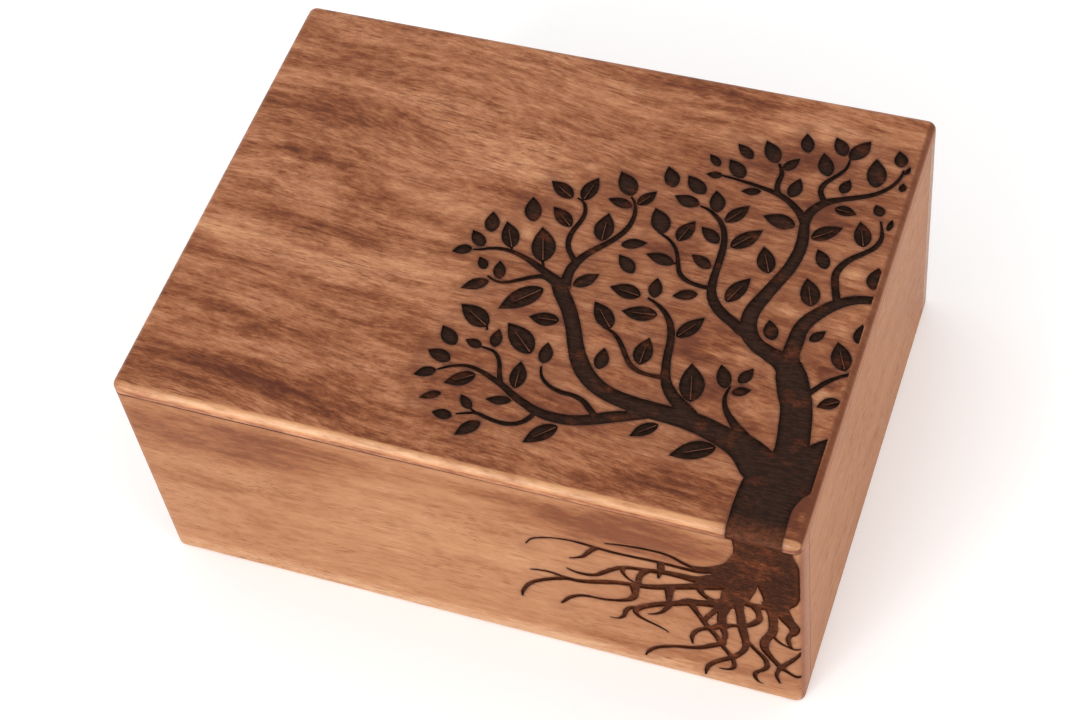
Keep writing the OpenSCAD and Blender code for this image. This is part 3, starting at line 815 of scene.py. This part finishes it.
# Leaves: tip x, y, base x, y, width, and 1 where the midrib is left standing
leaves = (
    (-20, -41, -12.3, -47.5, 5.5, 0), (-21, -51.5, -11.8, -54.5, 5.3, 0),
    (-22.5, -63, -15, -59.5, 4.3, 0), (-10.3, -64.5, -1, -57.7, 5.8, 1), (-9.5, -44, -3, -46, 3.8, 0),
    (-17, -72, -10, -68.3, 3.2, 0), (-3.3, -67.3, 2.5, -72, 3.6, 0), (-10.5, -76.3, -3, -76.7, 4.2, 0),
    (0.2, -83.3, 7.5, -76.3, 5, 0), (6, -67, 15, -65, 3.8, 0), (13.3, -48.2, 14.3, -59.8, 5.9, 1),
    (19.8, -38, 20.5, -47.2, 5, 0), (0.2, -37, 1.5, -45, 4.4, 0), (3.3, -33, 15, -44.2, 8.3, 1),
    (24, -80, 34, -71, 6.2, 1), (-20, 13, -16.8, 4, 5.5, 0), (-12.5, 10.3, -7.2, -1.3, 6.5, 1),
    (1.3, 11, 5.8, -4.5, 8.8, 1), (-24.2, 2.8, -17.5, -3, 4.8, 0), (-28.3, -7.8, -21.3, -5, 4.4, 0),
    (-17, -7.7, -13.5, -13, 3.7, 0), (-9.8, -8, -6.8, -15.8, 4.6, 0), (-19.3, -22.7, -10.3, -17.7, 5, 0),
    (-3.3, -28, 10, -16, 8.2, 1), (9, -29.5, 20, -28, 5.8, 1), (-16, -29.3, -4, -37, 7.6, 1),
    (27.8, -5, 19.8, -11.8, 5.2, 0), (-8, 23.3, -3.3, 12.5, 6.3, 0), (1.8, 21.3, 10.5, 13.5, 5.6, 1),
    (-3, 33, 6.8, 26.5, 5.8, 1), (12.8, 38.3, 11, 26.5, 6, 1), (21, 43.5, 28, 33, 7, 0),
    (19.8, 30, 29.5, 28, 4.5, 0), (21.5, 23, 23.5, 10, 7.2, 1), (58.7, -68, 67.2, -61.3, 4.8, 1),
    (74, -71.7, 88.8, -65, 7.2, 1), (39.8, 13.7, 31, 10, 4.6, 0), (41, 9, 52, 6.5, 5, 0),
    (32, 6, 39, -1.2, 5.2, 0), (47.8, -1, 49.8, -9.8, 5, 0), (55.5, -7, 64.2, -4.5, 4.6, 0),
    (33, -8.3, 44.7, -10.3, 6.3, 1), (40.2, -18.8, 53, -16.7, 6.4, 1),
    (30.2, -16.3, 38.8, -26.7, 6.6, 1), (70, -14, 62.3, -24.2, 5.8, 1), (52.7, -27, 53.3, -39, 6.8, 1),
    (39.9, -35.2, 40, -44.5, 5.2, 0), (71.7, -33.5, 75, -49.5, 8.8, 1), (79.8, 7.5, 74.8, -5, 6.2, 1),
    (57.2, 12.7, 65.2, 7.8, 4.6, 0), (37.3, 50, 41.5, 40.5, 5.7, 0), (44.8, 47, 53.5, 40.5, 5.8, 0),
    (50.2, 59.5, 55, 54.5, 3.4, 0), (58.2, 59, 65, 51, 5.8, 0), (51.3, 49.5, 57.3, 50.5, 3.4, 0),
    (59, 67, 65.7, 60.8, 4.4, 0), (69, 71, 75, 61, 6, 0), (43, 36.5, 53, 35, 5.5, 0),
    (57.7, 43.2, 60.3, 33.2, 5.8, 0), (71.3, 38.8, 64.3, 29.8, 5.5, 1), (66, 44.7, 73, 46.7, 3.6, 0),
    (36.5, 37, 31, 29.5, 4.8, 1), (38.5, 30, 44.3, 19, 7, 0), (53.3, 27.5, 50.3, 17, 6, 1),
    (57, 25.8, 64.8, 19.5, 5, 0), (79, 29, 69.5, 19, 6.4, 1), (81.7, 77.5, 85, 68.7, 5, 0),
    (93.5, 78.7, 98.3, 70.3, 5.3, 0), (106.3, 79.3, 100.3, 69.3, 6.2, 0), (90, 69.8, 95, 59.5, 5.8, 0),
    (83, 65, 78, 58.5, 4.2, 0), (85.8, 56, 84, 46.5, 5.2, 0), (102.5, 60, 101.8, 52.8, 4.4, 0),
    (110.5, 72, 112.7, 58.5, 7.2, 0), (117.5, 77.7, 119.5, 70, 5, 0), (122.5, 71, 122, 67.3, 1.8, 0),
    (122.3, 63, 122.2, 58.8, 2.8, 0), (115.2, 51, 118, 46, 4.2, 0), (109.3, 45, 101, 45.5, 4.6, 1),
    (122.5, 45.5, 121.8, 40, 2.2, 0), (112, 42, 115.3, 30.7, 6.2, 1), (105.8, 38, 96.3, 30, 6, 1),
    (77, 36.5, 89.3, 33.7, 6.5, 0), (100.3, 26.2, 105, 17.8, 5, 0), (80.5, 22, 86, 11, 6.6, 1),
    (123.5, 23, 123, 13, 6.4, 0), (100.3, 12.5, 104.3, 0.5, 7, 1), (91.3, -9, 95.3, -17, 5.3, 0),
    (112.3, -8.8, 107.5, -14, 3.8, 0), (124, -2.5, 123.8, -11, 4.5, 0),
    (116.7, -12.3, 122.7, -23.3, 7, 1), (81.3, -31.3, 85, -41, 5.2, 0),
    (92.5, -30.5, 88.8, -37.5, 4.3, 0), (93.7, -39, 87.7, -42.3, 3.8, 0),
    (116.8, -40, 124.3, -36, 4.6, 1),
)


def leaf_pattern(bend, ribbed):
    """One leaf, 1 long and 1 wide, base at 0 and tip at 1, as a solid; its midrib may be left standing."""
    bpy.ops.object.select_all(action="DESELECT")
    bpy.ops.curve.primitive_bezier_circle_add()
    made = bpy.context.object
    made.data.splines.clear()
    edge = made.data.splines.new("BEZIER")
    edge.bezier_points.add(3)
    edge.use_cyclic_u = True
    outline = (((0, 0), (0.03, -0.24), (0.03, 0.24)), ((0.43, 0.5), (0.20, 0.5), (0.66, 0.5)),
               ((1, bend), (0.84, 0.23 + bend * 0.6), (0.84, -0.23 + bend * 0.6)),
               ((0.43, -0.5), (0.66, -0.5), (0.20, -0.5)))
    for knot, (spot, behind, ahead) in zip(edge.bezier_points, outline):
        knot.handle_left_type = "FREE"
        knot.handle_right_type = "FREE"
        knot.co = (spot[0], spot[1], 0)
        knot.handle_left = (behind[0], behind[1], 0)
        knot.handle_right = (ahead[0], ahead[1], 0)
    made.data.dimensions = "2D"
    made.data.fill_mode = "BOTH"
    made.data.extrude = 0.5
    made.data.resolution_u = 5
    bpy.ops.object.convert(target="MESH")
    bpy.ops.object.mode_set(mode="EDIT")
    bpy.ops.mesh.select_all(action="SELECT")
    bpy.ops.mesh.remove_doubles(threshold=0.00001)
    bpy.ops.mesh.normals_make_consistent(inside=False)
    bpy.ops.object.mode_set(mode="OBJECT")
    if ribbed:
        rib = block("rib", (0.06, -0.028, -1), (0.68, 0.028, 1))
        for spot in rib.data.vertices:
            if spot.co.x > 0.5:
                spot.co.y = spot.co.y * 0.4 + bend * 0.5
        stay(made, "DIFFERENCE", rib)
    return made


patterns = {(side, ribbed): leaf_pattern(0.09 * side, ribbed) for side in (-1, 1) for ribbed in (0, 1)}


def leaf(number, tip_x, tip_y, base_x, base_y, width, ribbed):
    """A copy of a leaf pattern, laid from its base to its tip. Every third leaf bends the other way."""
    made = patterns[(1 if number % 3 else -1, ribbed)].copy()
    made.data = made.data.copy()
    studio.collection.objects.link(made)
    run = Vector((tip_x - base_x, tip_y - base_y, 0))
    place = Matrix.Translation(Vector((base_x, base_y, LID_TOP)) * MM)
    turn = Matrix.Rotation(math.atan2(run.y, run.x), 4, "Z")
    made.data.transform(place @ turn @ Matrix.Diagonal((run.length * MM, width * 1.02 * MM, 0.012, 1)))
    return made


lid_low, lid_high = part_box("lid")
plate = block("lid_top", (lid_low.x, lid_low.y, SEAM_HEIGHT * MM),
              (lid_high.x, lid_high.y, lid_high.z + PROUD * MM))
ease_edges(plate, CORNER, 7, lambda mid, run: abs(run.z) > 0.9)
ease_edges(plate, TOP_ROUND, 9, lambda mid, run: mid.z > LID_TOP)
ease_edges(plate, SEAM, 1, lambda mid, run: mid.z < SEAM_HEIGHT + 0.01)
score_across(plate, 0, *LID_SCORES)
stay(plate, "INTERSECT", finely_faced("lid_face", (-140, -110, 90), (140, 110, LID_TOP), LID_MESH, "Z"))
panel = block("raised_panel", (lid_low.x + PANEL_GAP * MM, lid_low.y + PANEL_GAP * MM, lid_low.z),
              (lid_high.x - PANEL_GAP * MM, lid_high.y - PANEL_GAP * MM, (SEAM_HEIGHT + 1.5) * MM))
ease_edges(panel, 0.8, 3, lambda mid, run: mid.z < lid_low.z / MM + 0.01)
stay(plate, "UNION", panel)

inner_lid = block("inner_lid", Vector((-130, FRONT_FACE + BURN, 85)) * MM,
                  Vector((RIGHT_END - BURN, BACK_FACE - BURN, LID_TOP - BURN + PROUD)) * MM)
ease_edges(inner_lid, CORNER - BURN, 7, lambda mid, run: mid.x > 120 and abs(run.z) > 0.9)
ease_edges(inner_lid, TOP_ROUND - BURN, 9, lambda mid, run: mid.z > LID_TOP - 1.0)
score_across(inner_lid, 0, *LID_SCORES)
stay(inner_lid, "INTERSECT",
     finely_faced("inner_top", (-140, -110, 80), (140, 110, LID_TOP - BURN), LID_MESH, "Z"))

tree_drawing = gather([stroke(line, 114, 103) for line in trunk + limbs + twigs]
                      + [leaf(number, *facts) for number, facts in enumerate(leaves)])

lid_tones = (tint(88, 38, 14), tint(126, 68, 36), tint(156, 97, 62), tint(179, 120, 84), tint(202, 146, 104))
# Darker and paler clouds on the top: middle, reach and strength, then a paler band along the front edge,
# painted light where the front light falls
lid_clouds = (
    (-98, 46, 34, 9, -0.15), (-62, 82, 60, 10, -0.10), (-92, 21, 44, 7, -0.14), (-80, -8, 56, 7, -0.12),
    (-70, -35, 30, 5, -0.10), (-82, -59, 60, 6, -0.16), (-84, -80, 62, 10, -0.25),
    (-108, 61, 34, 7, 0.20), (-20, 38, 34, 10, 0.26), (-112, -19, 34, 6, 0.26), (-60, -24, 44, 9, 0.20),
    (46, 90, 44, 6, -0.14), (20, 75, 90, 14, 0.08), (89, 67, 16, 8, -0.34), (75, 58, 14, 6, -0.30),
    (98, 80, 22, 5, 0.16), (100, 44, 12, 6, -0.30), (52, 16, 10, 9, -0.28), (114, 17, 12, 7, 0.24),
    (47, 38, 20, 7, 0.16), (118, -27, 9, 6, -0.34), (117, -35, 9, 4, 0.30), (67, -26, 14, 5, -0.24),
    (83, -43, 14, 9, -0.26), (84, -82, 34, 8, -0.22), (123, -82, 9, 18, -0.44), (10, -70, 60, 12, -0.10),
)
lid_patches = [((x, y, LID_TOP), (reach_x, reach_y, 40), strength)
               for x, y, reach_x, reach_y, strength in lid_clouds]
# The paler band along the lid's front edge below the rounding is painted light
lid_patches.append(((-20, -97, 106), (140, 3, 5), 0.16))
lid_finish = rosewood("lid_wood", lid_tones, 1.0, turn=(0, 0, math.radians(4)), contrast=(0.9, 1.2, 1.35),
                      coat=0.22, patches=lid_patches)

# The end grain along the right-hand edge has taken more stain
end_tree, end_surface, end_plain, end_mm = opened(lid_finish)
end_spot = put(end_tree, "ShaderNodeSeparateXYZ", {0: end_mm}).outputs
end_stained = stretch(end_tree, end_spot["X"], 123.8, 125.3, 0.0, 0.8, smooth=True)
end_stain = blend_colour(end_tree, end_stained, end_plain, tint(100, 52, 29))
end_side = stretch(end_tree, end_spot["X"], 126.3, 126.9, 0.0, 0.9, smooth=True)
end_stain = blend_colour(end_tree, end_side, end_stain, end_grain(end_tree, end_mm))
end_coat = stretch(end_tree, end_spot["X"], 124.5, 126.5, 0.22, 0.0)
end_tree.links.new(end_coat, end_surface.inputs["Coat Weight"])

# Painted light along the rounded front edge: a paler band where the front light falls on the rounding, and
# over it a near-white painted highlight line, brightest left of the middle, both broken up by noise
edge_out = minus(end_tree, FRONT_FACE + TOP_ROUND, end_spot["Y"])
edge_out = figure(end_tree, "MAXIMUM", edge_out, 0.0)
edge_up = minus(end_tree, end_spot["Z"], LID_TOP - TOP_ROUND)
on_edge = times(end_tree, edge_out, edge_up)
edge_sheen_breakup = cloudy(end_tree, end_mm, (14, 3, 3), 5.0, 0.68)
pale = times(end_tree, stretch(end_tree, on_edge, 0.2, 2.4, smooth=True),
             stretch(end_tree, edge_sheen_breakup, 0.3, 0.6, 0.3, 0.8))
pale = times(end_tree, pale, stretch(end_tree, end_spot["X"], -125.0, -85.0, 0.35, 1.0))
pale = blend_colour(end_tree, pale, end_stain, tint(202, 148, 104))
most = figure(end_tree, "ABSOLUTE", figure(end_tree, "ADD", end_spot["X"], 45.0))
# The near-white painted highlight line on the rounding
painted_edge_highlight = times(end_tree, stretch(end_tree, on_edge, 2.6, 4.4, smooth=True),
               stretch(end_tree, edge_sheen_breakup, 0.36, 0.6))
painted_edge_highlight = times(end_tree, painted_edge_highlight, stretch(end_tree, most, 0.0, 130.0, 0.5, 0.1))
painted_edge_highlight = blend_colour(end_tree, painted_edge_highlight, pale, tint(226, 186, 150))
end_tree.links.new(painted_edge_highlight, end_surface.inputs["Base Color"])

# The lid's burn: its greyer, paler floor away from the rim is a painted sheen, and its darker band at the rim
# is painted shade. The burn is lighter and redder where the trunk turns over the rounded front edge
lid_char = charred("lid_burn", tint(46, 31, 25), tint(36, 22, 16), tint(94, 48, 30), 0.12)
over_tree, over_surface, over_plain, over_mm = opened(lid_char)
over_y = put(over_tree, "ShaderNodeSeparateXYZ", {0: over_mm}).outputs["Y"]
over_wander = times(over_tree, cloudy(over_tree, over_mm, (5, 3, 3), 5.0, 0.75), 12.0)
over_y = figure(over_tree, "ADD", over_y, over_wander)
over_share = stretch(over_tree, over_y, -87.0, -81.5, 0.85, 0.0, smooth=True)
over_specks = cloudy(over_tree, over_mm, (2.2, 1.4, 1.4), 4.0, 0.75)
over_specks = stretch(over_tree, over_specks, 0.40, 0.60, 0.30, 1.0)
over_share = times(over_tree, over_share, over_specks)
over_colour = blend_colour(over_tree, over_share, over_plain, tint(102, 58, 38))
over_tree.links.new(over_colour, over_surface.inputs["Base Color"])

burn_into(plate, tree_drawing, inner_lid, TREE_END, lid_finish, lid_char)
mark_scorch(plate)
scorched(lid_finish, halo=0.6, haze=0.4)
finish_piece(plate, "lid")

# The tip and the leaf patterns are tools and leave nothing behind
bpy.data.objects.remove(tip)
for pattern in patterns.values():
    bpy.data.objects.remove(pattern)
